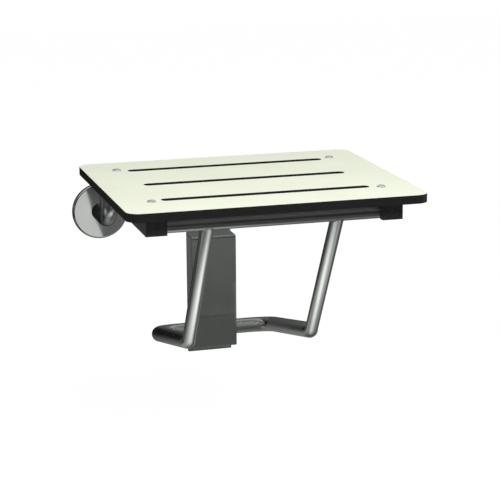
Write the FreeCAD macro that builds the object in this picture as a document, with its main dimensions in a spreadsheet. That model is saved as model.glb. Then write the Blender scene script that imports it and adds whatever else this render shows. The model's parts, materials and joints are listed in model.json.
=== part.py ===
import FreeCAD, Part
import math
import os

# Fold-down wall seat, built as separate pieces in one document.
# Millimetres. X runs along the wall, +Y points into the wall, +Z is up.
# The wall's surface is Y = 0. The origin is the centre of the guide bracket's
# four wall screws. The seat is modelled folded down, ready to sit on.

os.makedirs("parts", exist_ok=True)
doc = FreeCAD.newDocument("FoldDownWallSeat")
Vector = FreeCAD.Vector

# Every driving size has one row: name, value or formula, meaning.
SIZES = [
    ("clearance", "0.3", "gap between pieces that pass or seat"),
    ("running", "0.05", "radial gap of a shaft that turns in its hole"),

    ("seat_width", "457.2", "seat panel, left to right"),
    ("seat_depth", "389", "seat panel, rear edge to front edge"),
    ("seat_thickness", "13", "seat panel with its face layers"),
    ("face_thickness", "0.3", "pale layers bonded to the core's top and underside"),
    ("seat_corner", "20", "radius of the panel's four corners"),
    ("seat_top", "233.3", "height of the seat's top above the origin"),
    ("seat_rear_gap", "47", "wall to the panel's rear edge"),
    ("seat_bottom", "=seat_top - seat_thickness", "panel's underside"),

    ("slot_width", "16", "drain slot"),
    ("slot_side_margin", "67.6", "panel's side to a slot's end"),
    ("slot_rear_margin", "74", "rear edge to the first slot's middle"),
    ("slot_front_margin", "84", "front edge to the last slot's middle"),
    ("slot_count", "3", "drain slots"),
    ("slot_length", "=seat_width - 2 * slot_side_margin", "end to end"),
    ("slot_pitch", "=(seat_depth - slot_rear_margin - slot_front_margin) / (slot_count - 1)",
     "slot to slot"),

    ("rail_side_margin", "48.1", "panel's side to the middle of a rail"),
    ("rail_front_margin", "32", "panel's front edge to the rails' front face"),
    ("rail_width", "31.75", "rail, left to right"),
    ("rail_height", "29", "rail, under the panel"),
    ("rail_x", "=seat_width / 2 - rail_side_margin", "middle of a rail"),
    ("rail_inner", "=rail_x - rail_width / 2", "inner face of a rail"),
    ("rail_front", "=seat_depth - rail_front_margin", "rear edge to the rails' front"),
    ("rail_bottom", "=seat_bottom - rail_height", "rail's underside"),

    ("screw_offset", "3", "seat screws, inwards from the middle of a rail"),
    ("screw_rear", "66.3", "rear edge to the rear screws"),
    ("screw_front_margin", "75.5", "front edge to the front screws"),
    ("screw_radius", "3", "seat screw shank"),
    ("screw_reach", "20", "shank below the panel"),
    ("screw_tip_gap", "2", "screw tip to the bottom of its hole"),
    ("head_radius", "7", "seat screw's domed head"),
    ("head_height", "3.6", "seat screw's domed head"),
    ("screw_x", "=rail_x - screw_offset", "seat screws, from the middle"),
    ("screw_front", "=seat_depth - screw_front_margin", "rear edge to the front screws"),

    ("pivot_rear", "34", "panel's rear edge to the hinge line"),
    ("pivot_rise", "12.7", "rail's underside to the hinge line"),
    ("pivot_y", "=-seat_rear_gap - pivot_rear", "hinge line"),
    ("pivot_z", "=rail_bottom + pivot_rise", "hinge line"),
    ("pin_radius", "4", "hinge pin"),
    ("pin_cover", "3", "rail left over the pin's outer end"),
    ("bush_wall", "1.5", "plain bush in the tang"),
    ("bush_radius", "=pin_radius + running + bush_wall", "bush, outside"),
    ("tang_wall", "2.9", "tang round the bush"),
    ("tang_radius", "=bush_radius + tang_wall", "tang's round end, and half its width"),
    ("tang_thickness", "12", "tang, along the pin"),
    ("collar_height", "2", "tang's collar on the post's end"),
    ("collar_gap", "1.8", "rail's underside to the collar"),
    ("collar_top", "=rail_bottom - collar_gap", "top of the collar"),

    ("post_offset", "4.5", "post, outwards from the middle of a rail"),
    ("post_radius", "14.3", "hinge post's tube, outside"),
    ("post_wall", "2.5", "hinge post's tube"),
    ("post_bend", "28", "bend radius at the tube's middle"),
    ("post_x", "=rail_x + post_offset", "middle of a post and its flange"),
    ("flange_drop", "88", "seat top to the flange's middle"),
    ("flange_z", "=seat_top - flange_drop", "flange's middle"),
    ("flange_radius", "46", "flange cover, outside"),
    ("flange_depth", "8", "flange cover off the wall"),
    ("flange_edge", "3.5", "flange cover's rounded edge"),
    ("cover_wall", "1.2", "flange cover's sheet"),
    ("anchor_gap", "6.8", "anchor plate's rim to the inside of the cover"),
    ("anchor_radius", "=flange_radius - cover_wall - anchor_gap", "plate under the cover"),
    ("anchor_depth", "3", "anchor plate"),
    ("anchor_holes", "3", "wall screws in one anchor plate"),
    ("anchor_edge", "10", "anchor plate's rim to the middle of a screw hole"),
    ("anchor_circle", "=anchor_radius - anchor_edge", "radius of the holes' circle"),
    ("wall_hole", "3.3", "radius of every wall screw hole"),
    ("plug_length", "=collar_top - collar_height - flange_z - post_bend - clearance",
     "tang's plug, down to the post's bend"),

    ("frame_radius", "12.7", "lower frame's tube, outside"),
    ("leg_radius", "10.3", "legs' and crossbar's tube, outside"),
    ("brace_wall", "2", "wall of the brace's tubes"),
    ("frame_x", "100", "middle of a leg and of a side run"),
    ("frame_bend", "40", "bend radius at the tube's middle"),

    ("bracket_width", "76.2", "guide bracket, left to right"),
    ("channel_height", "193", "channel, top to bottom"),
    ("channel_wall", "2.5", "channel's sheet"),
    ("channel_bend", "4", "outside radius of the channel's bends"),
    ("plate_depth", "3", "back plate"),
    ("plate_lip", "14.9", "back plate beyond the channel's ends"),
    ("plate_corner", "1.5", "back plate's corners"),
    ("plate_hole_margin", "13.1", "back plate's side to a screw hole"),
    ("plate_hole_x", "=bracket_width / 2 - plate_hole_margin", "bracket screws"),
    ("plate_hole_z", "=channel_height / 2 + plate_lip / 2", "bracket screws"),

    ("shoe_side", "3.7", "shoe's wall in front of and behind the tube"),
    ("shoe_wall", "3.95", "shoe's wall above and below the tube"),
    ("shoe_inset", "5.1", "bracket's side to the shoe's end"),
    ("shoe_length", "=bracket_width - 2 * shoe_inset", "guide shoe, left to right"),
    ("shoe_height", "=2 * (frame_radius + running + shoe_wall)", "guide shoe"),
    ("shoe_depth", "=2 * (frame_radius + running + shoe_side)", "guide shoe"),
    ("channel_depth", "=plate_depth + shoe_depth + 2 * clearance + channel_wall",
     "channel's front face off the wall"),
    ("pad_inset", "3", "shoe's end to the stop pad's end"),
    ("pad_length", "=shoe_length - 2 * pad_inset", "stop pad, left to right"),
    ("pad_height", "9", "stop pad"),
    ("pad_bottom", "=-channel_height / 2 + channel_wall", "inside of the channel's foot"),
    ("run_y", "=-plate_depth - clearance - shoe_depth / 2", "rear cross run's middle"),
    ("run_z", "=pad_bottom + pad_height + clearance + shoe_height / 2",
     "rear cross run's middle"),

    ("knee_out", "258", "wall to the knee, at the middle of the tubes"),
    ("knee_rise", "54", "rear cross run up to the knee"),
    ("knee_z", "=run_z + knee_rise", "knee"),
    ("cap_spigot", "10", "end cap's spigot inside the side run"),
    ("cap_height", "9", "end cap's dome beyond the knee"),
    ("bar_setback", "17", "rails' front face to the crossbar's middle"),
    ("bar_back", "=rail_front - bar_setback", "rear edge to the crossbar's middle"),
    ("bar_y", "=-seat_rear_gap - bar_back", "crossbar's middle"),
    ("bar_z", "=rail_bottom + leg_radius", "crossbar, flush under the rails"),
    ("bar_gap", "0.5", "crossbar's end to the rail"),
    ("bar_end", "=rail_inner - bar_gap", "crossbar's end"),
    ("bar_plug", "16", "pin's plug inside the crossbar"),
    ("bar_pin_radius", "4", "pin in the rail's groove"),
    ("bar_pin_gap", "1.5", "pin's end to the bottom of the groove"),
    ("groove_depth", "10", "groove in the rail's inner face"),
    ("groove_travel", "58", "how far the pin may move along the groove"),
    ("groove_rise", "7.6", "how far the pin may rise in the groove"),
    ("bar_pin_reach", "=bar_gap + groove_depth - bar_pin_gap", "pin beyond the bar"),
    ("leg_length", "=sqrt((bar_y + knee_out) ^ 2 + (bar_z - knee_z) ^ 2)",
     "knee to the crossbar's middle"),
    ("side_run", "=sqrt((knee_out + run_y) ^ 2 + knee_rise ^ 2)",
     "rear cross run's middle to the knee"),
]

sheet = doc.addObject("Spreadsheet::Sheet", "Sizes")
for row, (alias, content, meaning) in enumerate(SIZES, start=1):
    sheet.set(f"A{row}", meaning)
    sheet.set(f"B{row}", content)
    sheet.setAlias(f"B{row}", alias)
doc.recompute()


def val(alias):
    """A size from the sheet as a plain number."""
    return float(sheet.get(alias))


def linked(expression):
    """Turn names of sizes into references to the sheet."""
    words = sorted((name for name, _, _ in SIZES), key=len, reverse=True)
    parts = []
    rest = expression
    while rest:
        name = next((w for w in words if rest.startswith(w)), None)
        if name:
            parts.append("Sizes." + name)
            rest = rest[len(name):]
        else:
            parts.append(rest[0])
            rest = rest[1:]
    return "".join(parts)


def bind(obj, **properties):
    """Bind properties of one object to sizes in the sheet."""
    for name, expression in properties.items():
        obj.setExpression(name.replace("__", "."), linked(expression))
    return obj


def move(obj, x="0", y="0", z="0", rotation=None):
    """Bind an object's position, with a fixed rotation if one is given."""
    if rotation:
        obj.Placement = FreeCAD.Placement(Vector(), rotation)
    bind(obj, Placement__Base__x=x, Placement__Base__y=y, Placement__Base__z=z)
    return obj


ALONG_X = FreeCAD.Rotation(Vector(0, 1, 0), 90)


# Part Design bodies and their sketches.

def new_body(label, x="0", y="0", z="0", rotation=None):
    body = doc.addObject("PartDesign::Body", label)
    body.Label = label
    move(body, x, y, z, rotation)
    return body


def new_sketch(body, role, offset=None):
    """A sketch on one of the body's own origin planes, lifted by an offset."""
    plane = next(f for f in body.Origin.OriginFeatures if f.Role == role)
    sketch = body.newObject("Sketcher::SketchObject", body.Label + "_sketch")
    sketch.AttachmentSupport = [(plane, "")]
    sketch.MapMode = "FlatFace"
    if offset:
        bind(sketch, AttachmentOffset__Base__z=offset)
    return sketch


def circle(sketch, u, v, radius):
    sketch.addGeometry(Part.Circle(Vector(u, v, 0), Vector(0, 0, 1), radius))


def outline(sketch, corners, closed=True):
    """Lines through the corners; a corner's third number is its radius."""
    count = len(corners)
    trims = []
    for i, corner in enumerate(corners):
        here = Vector(corner[0], corner[1], 0)
        radius = corner[2] if len(corner) > 2 else 0
        end_of_chain = not closed and i in (0, count - 1)
        if not radius or end_of_chain:
            trims.append((here, here, None))
            continue
        before = corners[i - 1]
        after = corners[(i + 1) % count]
        inward = (Vector(before[0], before[1], 0) - here).normalize()
        outward = (Vector(after[0], after[1], 0) - here).normalize()
        half = inward.getAngle(outward) / 2
        reach = radius / math.tan(half)
        start = here + inward * reach
        finish = here + outward * reach
        middle_line = (inward + outward).normalize()
        centre = here + middle_line * (radius / math.sin(half))
        top = centre - middle_line * radius
        trims.append((start, finish, Part.Arc(start, top, finish)))
    pairs = range(count if closed else count - 1)
    for i in pairs:
        start = trims[i][1]
        finish = trims[(i + 1) % count][0]
        if (finish - start).Length > 1e-6:
            sketch.addGeometry(Part.LineSegment(start, finish))
    for _, _, arc in trims:
        if arc:
            sketch.addGeometry(arc)


def long_hole(sketch, u, v, length, width):
    """A slot with round ends, lying along the sketch's first axis."""
    radius = width / 2
    straight = length / 2 - radius
    for way in (-1, 1):
        sketch.addGeometry(Part.LineSegment(Vector(u - straight, v + way * radius, 0),
                                            Vector(u + straight, v + way * radius, 0)))
        sketch.addGeometry(Part.Arc(Vector(u + way * straight, v - radius, 0),
                                    Vector(u + way * (straight + radius), v, 0),
                                    Vector(u + way * straight, v + radius, 0)))


def pad(body, sketch, length, midplane=False, reverse=False):
    feature = body.newObject("PartDesign::Pad", body.Label + "_pad")
    feature.Profile = sketch
    bind(feature, Length=length)
    feature.Midplane = midplane
    feature.Reversed = reverse
    doc.recompute()
    return feature


def pocket(body, sketch, length=None, reverse=False, midplane=False):
    """Cut a sketch's shape away, and make sure that something was cut."""
    before = body.Shape.Volume
    feature = body.newObject("PartDesign::Pocket", body.Label + "_pocket")
    feature.Profile = sketch
    if length:
        bind(feature, Length=length)
    else:
        feature.Type = "ThroughAll"
    feature.Midplane = midplane
    feature.Reversed = reverse
    doc.recompute()
    if body.Shape.Volume > before - 0.5:
        raise RuntimeError(f"a pocket in {body.Label} cuts nothing")
    return feature


def pipe(body, profile, path):
    feature = body.newObject("PartDesign::AdditivePipe", body.Label + "_pipe")
    feature.Profile = profile
    feature.Spine = path
    doc.recompute()
    return feature


# Part primitives and booleans.

def cylinder(name, radius, height, x="0", y="0", z="0", rotation=None):
    obj = doc.addObject("Part::Cylinder", name)
    bind(obj, Radius=radius, Height=height)
    return move(obj, x, y, z, rotation)


def block(name, length, width, height, x, y, z):
    """A box given by its sizes and its lowest corner."""
    obj = doc.addObject("Part::Box", name)
    bind(obj, Length=length, Width=width, Height=height)
    return move(obj, x, y, z)


def dome(name, radius, lowest):
    """The part of a ball above a latitude, in degrees."""
    obj = doc.addObject("Part::Sphere", name)
    bind(obj, Radius=radius)
    obj.Angle1 = lowest
    return obj


def end_dome(name, radius, height, lowest):
    """A flattened ball, from a latitude in degrees up to its pole."""
    obj = doc.addObject("Part::Ellipsoid", name)
    bind(obj, Radius1=height, Radius2=radius, Radius3=radius)
    obj.Angle1 = lowest
    return obj


def joined(label, pieces):
    obj = doc.addObject("Part::MultiFuse", label)
    obj.Shapes = pieces
    obj.Label = label
    return obj


def cut(label, base, *tools):
    obj = doc.addObject("Part::Cut", label)
    obj.Base = base
    obj.Tool = tools[0] if len(tools) == 1 else joined(label + "_tools", list(tools))
    obj.Label = label
    return obj


def group(label, pieces):
    """Identical pieces that stay separate solids under one name."""
    obj = doc.addObject("Part::Compound", label)
    obj.Links = pieces
    obj.Label = label
    return obj


nodes = []
SIDES = (("left", "-1 * ", -1), ("right", "", 1))

# Seat panel: a black core with two pale face layers, drain slots and screw holes.

def panel_layer(label, bottom, thickness):
    body = new_body(label, y="-seat_rear_gap", z=bottom)
    half = val("seat_width") / 2
    front = -val("seat_depth")
    corner = val("seat_corner")
    sketch = new_sketch(body, "XY_Plane")
    outline(sketch, [(-half, front, corner), (half, front, corner),
                     (half, 0, corner), (-half, 0, corner)])
    pad(body, sketch, thickness)
    holes = new_sketch(body, "XY_Plane")
    for i in range(int(val("slot_count"))):
        middle = -val("slot_rear_margin") - i * val("slot_pitch")
        long_hole(holes, 0, middle, val("slot_length"), val("slot_width"))
    for x in (-val("screw_x"), val("screw_x")):
        for back in (val("screw_rear"), val("screw_front")):
            circle(holes, x, -back, val("screw_radius"))
    pocket(body, holes, reverse=True)
    return body


nodes.append(panel_layer("seat_core", "seat_bottom + face_thickness",
                         "seat_thickness - 2 * face_thickness"))
nodes.append(panel_layer("seat_face", "seat_top - face_thickness", "face_thickness"))
nodes.append(panel_layer("seat_face_lower", "seat_bottom", "face_thickness"))

# Seat screws: domed heads on the face, shanks down into the rails.
cap_radius = "(head_radius ^ 2 + head_height ^ 2) / (2 * head_height)"
cap_size = (val("head_radius") ** 2 + val("head_height") ** 2) / (2 * val("head_height"))
cap_base = math.degrees(math.asin(1 - val("head_height") / cap_size))
screws = []
for side, sign, _ in SIDES:
    for back in ("rear", "front"):
        place = (sign + "screw_x", f"-seat_rear_gap - screw_{back}")
        head = dome(f"head_{side}_{back}", cap_radius, cap_base)
        move(head, *place, f"seat_top + head_height - {cap_radius}")
        shank = cylinder(f"shank_{side}_{back}", "screw_radius",
                         "seat_thickness + screw_reach",
                         *place, "seat_bottom - screw_reach")
        screws.append(joined(f"screw_{side}_{back}", [head, shank]))
nodes.append(group("seat_screws", screws))


def rail(side, sign, way):
    """A black bar under the panel, forked at the rear for the post's tang."""
    body = new_body(f"rail_{side}", x=f"{sign}rail_x", y="-seat_rear_gap")
    front = -val("rail_front")
    pivot_y = -val("pivot_rear")
    pivot_z = val("pivot_z")
    bottom = val("rail_bottom")
    top = val("seat_bottom")
    end = pivot_y + pivot_z - bottom
    profile = new_sketch(body, "YZ_Plane")
    outline(profile, [(front, bottom), (end, bottom, pivot_z - bottom),
                      (end, top), (front, top)])
    pad(body, profile, "rail_width", midplane=True)

    fork = new_sketch(body, "YZ_Plane")
    reach = val("tang_radius") + val("clearance")
    outline(fork, [(pivot_y - reach, bottom - 1), (end + 1, bottom - 1),
                   (end + 1, pivot_z + reach), (pivot_y - reach, pivot_z + reach)])
    pocket(body, fork, "tang_thickness + 2 * clearance", midplane=True)

    inner = -way * val("rail_width") / 2
    bore = new_sketch(body, "YZ_Plane", f"{-way} * rail_width / 2")
    circle(bore, pivot_y, pivot_z, val("pin_radius"))
    pocket(body, bore, "rail_width - pin_cover", reverse=inner < 0)

    groove = new_sketch(body, "YZ_Plane", f"{-way} * rail_width / 2")
    room = val("bar_pin_radius") + val("clearance")
    bar_y = -val("bar_back")
    outline(groove, [(bar_y - room, bottom - 1),
                     (bar_y + val("groove_travel") + room, bottom - 1),
                     (bar_y + val("groove_travel") + room,
                      val("bar_z") + val("groove_rise") + room, room),
                     (bar_y - room, val("bar_z") + val("groove_rise") + room, room)])
    pocket(body, groove, "groove_depth", reverse=inner < 0)

    taps = new_sketch(body, "XY_Plane", "seat_bottom")
    for back in (val("screw_rear"), val("screw_front")):
        circle(taps, way * (val("screw_x") - val("rail_x")), -back, val("screw_radius"))
    pocket(body, taps, "screw_reach + screw_tip_gap")
    return body


def hinge_post(side, sign):
    """A tube from the wall flange, bent upwards to the hinge."""
    body = new_body(f"hinge_post_{side}", x=f"{sign}post_x")
    path = new_sketch(body, "YZ_Plane")
    outline(path, [(-val("anchor_depth"), val("flange_z")),
                   (val("pivot_y"), val("flange_z"), val("post_bend")),
                   (val("pivot_y"), val("collar_top") - val("collar_height"))],
            closed=False)
    ring = new_sketch(body, "XZ_Plane", "anchor_depth")
    circle(ring, 0, val("flange_z"), val("post_radius"))
    circle(ring, 0, val("flange_z"), val("post_radius") - val("post_wall"))
    pipe(body, ring, path)
    return body


def hinge_tang(side, sign):
    """A plug in the post's end, with a flat tang that holds the bush."""
    across = (f"{sign}post_x", "pivot_y")
    plug = cylinder(f"tang_plug_{side}", "post_radius - post_wall",
                    "plug_length + collar_height",
                    *across, "collar_top - collar_height - plug_length")
    collar = cylinder(f"tang_collar_{side}", "post_radius", "collar_height",
                      *across, "collar_top - collar_height")
    inner = f"{sign}rail_x - tang_thickness / 2"
    blade = block(f"tang_blade_{side}", "tang_thickness", "2 * tang_radius",
                  "pivot_z - collar_top", inner, "pivot_y - tang_radius", "collar_top")
    crown = cylinder(f"tang_crown_{side}", "tang_radius", "tang_thickness",
                     inner, "pivot_y", "pivot_z", ALONG_X)
    hole = cylinder(f"tang_hole_{side}", "bush_radius",
                    "tang_thickness", inner, "pivot_y", "pivot_z", ALONG_X)
    solid = joined(f"tang_solid_{side}", [plug, collar, blade, crown])
    return cut(f"hinge_tang_{side}", solid, hole)


def hinge_bush(side, sign):
    start = (f"{sign}rail_x - tang_thickness / 2", "pivot_y", "pivot_z", ALONG_X)
    outside = cylinder(f"bush_outside_{side}", "bush_radius",
                       "tang_thickness", *start)
    inside = cylinder(f"bush_inside_{side}", "pin_radius + running",
                      "tang_thickness", *start)
    return cut(f"hinge_bush_{side}", outside, inside)


def hinge_pin(side, sign, way):
    start = "rail_inner" if way > 0 else "-rail_inner - rail_width + pin_cover"
    return cylinder(f"hinge_pin_{side}", "pin_radius", "rail_width - pin_cover",
                    start, "pivot_y", "pivot_z", ALONG_X)


def anchor_plate(side, sign):
    """A round plate on the wall, with the screw holes that hold the post."""
    body = new_body(f"anchor_plate_{side}", x=f"{sign}post_x", z="flange_z")
    disc = new_sketch(body, "XZ_Plane")
    circle(disc, 0, 0, val("anchor_radius"))
    count = int(val("anchor_holes"))
    for i in range(count):
        angle = math.radians(90 + 360 * i / count)
        circle(disc, val("anchor_circle") * math.cos(angle),
               val("anchor_circle") * math.sin(angle), val("wall_hole"))
    pad(body, disc, "anchor_depth")
    return body


def flange_cover(side, sign):
    """A shallow polished cup that hides the anchor plate and its screws."""
    body = new_body(f"flange_cover_{side}", x=f"{sign}post_x", z="flange_z")
    outer = val("flange_radius")
    inner = outer - val("cover_wall")
    hole = val("post_radius") + val("clearance")
    depth = val("flange_depth")
    edge = val("flange_edge")
    profile = new_sketch(body, "XY_Plane")
    outline(profile, [(inner, 0), (outer, 0), (outer, -depth, edge), (hole, -depth),
                      (hole, -depth + val("cover_wall")),
                      (inner, -depth + val("cover_wall"), edge - val("cover_wall"))])
    turned = body.newObject("PartDesign::Revolution", body.Label + "_turned")
    turned.Profile = profile
    turned.ReferenceAxis = (profile, ["V_Axis"])
    turned.Angle = 360
    doc.recompute()
    return body


for side, sign, way in SIDES:
    nodes.append(rail(side, sign, way))
    nodes.append(hinge_pin(side, sign, way))
    nodes.append(anchor_plate(side, sign))
    nodes.append(flange_cover(side, sign))
    nodes.append(hinge_post(side, sign))
    nodes.append(hinge_tang(side, sign))
    nodes.append(hinge_bush(side, sign))

# Guide bracket: a back plate on the wall and a bent channel welded to it.
back_plate = new_body("guide_back_plate")
half_width = val("bracket_width") / 2
half_plate = val("channel_height") / 2 + val("plate_lip")
plate_sketch = new_sketch(back_plate, "XZ_Plane")
plate_corner = val("plate_corner")
outline(plate_sketch, [(-half_width, -half_plate, plate_corner),
                       (half_width, -half_plate, plate_corner),
                       (half_width, half_plate, plate_corner),
                       (-half_width, half_plate, plate_corner)])
for x in (-val("plate_hole_x"), val("plate_hole_x")):
    for z in (-val("plate_hole_z"), val("plate_hole_z")):
        circle(plate_sketch, x, z, val("wall_hole"))
pad(back_plate, plate_sketch, "plate_depth")
nodes.append(back_plate)

channel = new_body("guide_channel")
half_height = val("channel_height") / 2
front = -val("channel_depth")
rear = -val("plate_depth")
wall = val("channel_wall")
bend = val("channel_bend")
channel_sketch = new_sketch(channel, "YZ_Plane")
outline(channel_sketch, [
    (rear, half_height), (front, half_height, bend), (front, -half_height, bend),
    (rear, -half_height), (rear, -half_height + wall),
    (front + wall, -half_height + wall, bend - wall),
    (front + wall, half_height - wall, bend - wall), (rear, half_height - wall)])
pad(channel, channel_sketch, "bracket_width", midplane=True)
nodes.append(channel)

# The stop pad lies in the channel's foot, behind its bend, under the shoe.
nodes.append(block(
    "stop_pad", "pad_length", "shoe_depth - channel_bend + channel_wall", "pad_height",
    "-pad_length / 2", "run_y - shoe_depth / 2 + channel_bend - channel_wall", "pad_bottom"))

# Guide shoe: two halves closed round the rear cross run.
for name, start in (("shoe_half_front", "run_y - shoe_depth / 2"), ("shoe_half_rear", "run_y")):
    half_shoe = block(name + "_block", "shoe_length", "shoe_depth / 2", "shoe_height",
                      "-shoe_length / 2", start, "run_z - shoe_height / 2")
    bore = cylinder(name + "_bore", "frame_radius + running", "shoe_length + 2",
                    "-shoe_length / 2 - 1", "run_y", "run_z", ALONG_X)
    nodes.append(cut(name, half_shoe, bore))

# Brace: a U-shaped lower frame, two legs up to a crossbar, and its end pins.
to_knee = Vector(0, -val("knee_out") - val("run_y"), val("knee_rise"))
slope = math.degrees(math.atan2(to_knee.z, -to_knee.y))
tilted = FreeCAD.Rotation(Vector(1, 0, 0), -slope)
lower_frame = new_body("lower_frame", y="run_y", z="run_z", rotation=tilted)
frame_path = new_sketch(lower_frame, "XY_Plane")
frame_x = val("frame_x")
outline(frame_path, [(-frame_x, -val("side_run")), (-frame_x, 0, val("frame_bend")),
                     (frame_x, 0, val("frame_bend")), (frame_x, -val("side_run"))],
        closed=False)
frame_ring = new_sketch(lower_frame, "XZ_Plane", "side_run")
circle(frame_ring, -frame_x, 0, val("frame_radius"))
circle(frame_ring, -frame_x, 0, val("frame_radius") - val("brace_wall"))
pipe(lower_frame, frame_ring, frame_path)
nodes.append(lower_frame)

forward = FreeCAD.Rotation(Vector(0, 0, 1), to_knee)
backward = FreeCAD.Rotation(Vector(0, 0, 1), to_knee * -1)
caps = []
for side, sign, _ in SIDES:
    knee = (f"{sign}frame_x", "-knee_out", "knee_z")
    ball = move(end_dome(f"cap_ball_{side}", "frame_radius", "cap_height", 0),
                *knee, rotation=forward)
    spigot = cylinder(f"cap_spigot_{side}", "frame_radius - brace_wall",
                      "cap_spigot", *knee, backward)
    caps.append(joined(f"end_cap_{side}", [ball, spigot]))
nodes.append(group("frame_end_caps", caps))

to_bar = Vector(0, val("bar_y") + val("knee_out"), val("bar_z") - val("knee_z"))
upward = FreeCAD.Rotation(Vector(0, 0, 1), to_bar)
for side, sign, _ in SIDES:
    knee = (f"{sign}frame_x", "-knee_out", "knee_z")
    tube = cylinder(f"leg_tube_{side}", "leg_radius", "leg_length", *knee, upward)
    hollow = cylinder(f"leg_hollow_{side}", "leg_radius - brace_wall", "leg_length",
                      *knee, upward)
    run_end = cylinder(f"leg_run_end_{side}", "frame_radius", "2 * frame_radius",
                       *knee, backward)
    knob = move(end_dome(f"leg_knob_{side}", "frame_radius", "cap_height", -90),
                *knee, rotation=forward)
    saddle = cylinder(f"leg_saddle_{side}", "leg_radius", "4 * leg_radius",
                      f"{sign}frame_x - 2 * leg_radius", "bar_y", "bar_z", ALONG_X)
    nodes.append(cut(f"leg_{side}", tube, hollow, run_end, knob, saddle))

bar_outside = cylinder("bar_outside", "leg_radius", "2 * bar_end",
                       "-bar_end", "bar_y", "bar_z", ALONG_X)
bar_inside = cylinder("bar_inside", "leg_radius - brace_wall", "2 * bar_end",
                      "-bar_end", "bar_y", "bar_z", ALONG_X)
nodes.append(cut("crossbar", bar_outside, bar_inside))

bar_pins = []
for side, sign, way in SIDES:
    plug_start = "bar_end - bar_plug" if way > 0 else "-bar_end"
    pin_start = "bar_end" if way > 0 else "-bar_end - bar_pin_reach"
    plug = cylinder(f"bar_plug_{side}", "leg_radius - brace_wall", "bar_plug",
                    plug_start, "bar_y", "bar_z", ALONG_X)
    pin = cylinder(f"bar_pin_{side}", "bar_pin_radius", "bar_pin_reach",
                   pin_start, "bar_y", "bar_z", ALONG_X)
    bar_pins.append(joined(f"crossbar_pin_{side}", [plug, pin]))
nodes.append(group("crossbar_pins", bar_pins))

# Recompute, check every object, then write one file for each node.
doc.recompute()
for obj in doc.Objects:
    if "Invalid" in obj.State or "Error" in obj.State:
        raise RuntimeError(f"{obj.Label} failed to compute")
for node in nodes:
    shape = node.Shape
    if shape.isNull() or not shape.isValid() or not shape.Solids:
        raise RuntimeError(f"{node.Label} has no sound shape")
    shape.exportStep(f"parts/{node.Label}.step")
    print(node.Label, len(shape.Solids), round(shape.Volume, 1))
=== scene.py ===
import json
import math

import bmesh
import bpy
from mathutils import Matrix, Vector

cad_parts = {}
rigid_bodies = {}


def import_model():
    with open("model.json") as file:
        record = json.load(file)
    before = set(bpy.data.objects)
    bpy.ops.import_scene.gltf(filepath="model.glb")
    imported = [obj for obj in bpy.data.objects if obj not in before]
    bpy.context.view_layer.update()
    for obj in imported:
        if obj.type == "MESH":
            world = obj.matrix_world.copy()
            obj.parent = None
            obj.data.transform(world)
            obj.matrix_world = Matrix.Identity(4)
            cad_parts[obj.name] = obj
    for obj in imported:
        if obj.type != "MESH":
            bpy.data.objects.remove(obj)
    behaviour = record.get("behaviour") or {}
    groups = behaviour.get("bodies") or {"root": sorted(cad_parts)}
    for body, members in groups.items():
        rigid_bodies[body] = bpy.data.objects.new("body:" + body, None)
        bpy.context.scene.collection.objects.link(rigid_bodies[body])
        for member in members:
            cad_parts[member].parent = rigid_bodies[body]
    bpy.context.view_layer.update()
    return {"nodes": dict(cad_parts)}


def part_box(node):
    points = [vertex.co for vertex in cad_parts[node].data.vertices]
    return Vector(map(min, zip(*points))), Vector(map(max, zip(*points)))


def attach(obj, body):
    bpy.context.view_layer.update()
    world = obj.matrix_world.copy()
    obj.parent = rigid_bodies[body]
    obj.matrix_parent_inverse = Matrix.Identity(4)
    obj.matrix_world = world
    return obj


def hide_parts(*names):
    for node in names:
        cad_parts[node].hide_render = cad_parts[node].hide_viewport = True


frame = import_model()
nodes = frame["nodes"]
collection = bpy.context.scene.collection
SIDES = (("left", -1), ("right", 1))
MM = 0.001


# Camera: solved from the straight edges of the photographed seat.

LENS_MM = 127.15
SENSOR_MM = 36
CAMERA_PLACE = Vector((-0.72831, -2.81739, 0.77431))
CAMERA_RIGHT = Vector((0.96131, -0.27547, -0.00712))
CAMERA_UP = Vector((0.07204, 0.22627, 0.97142))


def photo_camera():
    data = bpy.data.cameras.new("photo_camera")
    data.lens = LENS_MM
    data.sensor_width = SENSOR_MM
    camera = bpy.data.objects.new("photo_camera", data)
    collection.objects.link(camera)
    backwards = CAMERA_RIGHT.cross(CAMERA_UP)
    turn = Matrix((CAMERA_RIGHT, CAMERA_UP, backwards)).transposed()
    camera.matrix_world = Matrix.Translation(CAMERA_PLACE) @ turn.to_4x4()
    bpy.context.scene.camera = camera


# Materials. Every pattern is worked out from Object coordinates, in metres.

def blank_material(name, colour, metallic, roughness):
    """A Principled material with its plain values set on the shader's sockets."""
    material = bpy.data.materials.new(name)
    material.use_nodes = True
    shader = material.node_tree.nodes["Principled BSDF"]
    shader.inputs["Base Color"].default_value = (*colour, 1)
    shader.inputs["Metallic"].default_value = metallic
    shader.inputs["Roughness"].default_value = roughness
    return material, shader


def placed(material, stretch, turn):
    """Object coordinates, turned about the axes and squeezed along them."""
    tree = material.node_tree
    place = tree.nodes.new("ShaderNodeTexCoord")
    mapping = tree.nodes.new("ShaderNodeMapping")
    mapping.inputs["Scale"].default_value = stretch
    mapping.inputs["Rotation"].default_value = turn
    tree.links.new(place.outputs["Object"], mapping.inputs["Vector"])
    return mapping.outputs["Vector"]


def noise(material, scale, detail=4, stretch=(1, 1, 1), turn=(0, 0, 0)):
    """A cloudy pattern, with about this many clouds in a metre."""
    tree = material.node_tree
    texture = tree.nodes.new("ShaderNodeTexNoise")
    texture.inputs["Scale"].default_value = scale
    texture.inputs["Detail"].default_value = detail
    tree.links.new(placed(material, stretch, turn), texture.inputs["Vector"])
    return texture.outputs["Fac"]


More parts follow.
